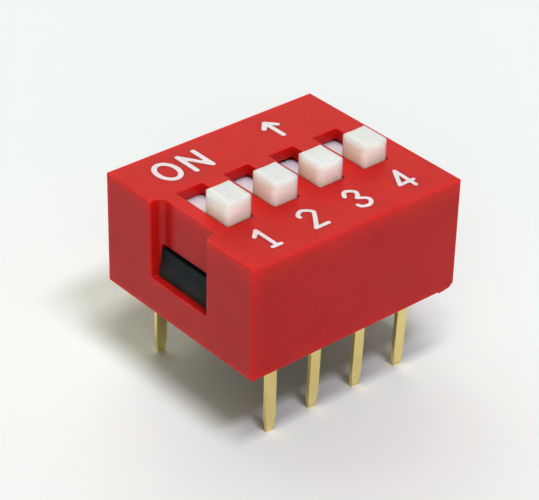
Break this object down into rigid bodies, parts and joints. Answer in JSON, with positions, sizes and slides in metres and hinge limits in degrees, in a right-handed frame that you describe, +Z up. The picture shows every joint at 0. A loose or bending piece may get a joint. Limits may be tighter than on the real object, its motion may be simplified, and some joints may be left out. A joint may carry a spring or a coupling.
{
  "type": "dip switch",
  "caption": "Through-hole slide DIP switch: red cover over a black base, white sliding knobs in roof slots, and two rows of gold flat leads.",
  "frame": {"origin": "midway between the eight lead tips, on the plane that they stand on", "axes": "+X along the row of switches from position 1 to position 4, +Y towards the ON side, +Z up"},
  "size_m": [0.0116, 0.0098, 0.0107],
  "materials": {
    "red_cover": "red moulded plastic with a fine satin surface",
    "black_base": "black moulded plastic, satin",
    "white_slider": "white translucent nylon, satin",
    "gold_strip": "pale gold plating on stamped copper-alloy strip"
  },
  "bodies": {
    "housing": {"cover": "red_cover", "base": "black_base", "terminal_off_1": "gold_strip", "terminal_off_2": "gold_strip", "terminal_off_3": "gold_strip", "terminal_off_4": "gold_strip", "terminal_on_1": "gold_strip", "terminal_on_2": "gold_strip", "terminal_on_3": "gold_strip", "terminal_on_4": "gold_strip"},
    "switch_1": {"slider_1": "white_slider", "contact_1": "gold_strip"},
    "switch_2": {"slider_2": "white_slider", "contact_2": "gold_strip"},
    "switch_3": {"slider_3": "white_slider", "contact_3": "gold_strip"},
    "switch_4": {"slider_4": "white_slider", "contact_4": "gold_strip"}
  },
  "joints": [
    {"name": "switch_1_slide", "type": "slide", "parent": "housing", "child": "switch_1", "axis": [0, 1, 0], "range_m": [0, 0.0018]},
    {"name": "switch_2_slide", "type": "slide", "parent": "housing", "child": "switch_2", "axis": [0, 1, 0], "range_m": [0, 0.0018]},
    {"name": "switch_3_slide", "type": "slide", "parent": "housing", "child": "switch_3", "axis": [0, 1, 0], "range_m": [0, 0.0018]},
    {"name": "switch_4_slide", "type": "slide", "parent": "housing", "child": "switch_4", "axis": [0, 1, 0], "range_m": [0, 0.0018]}
  ]
}
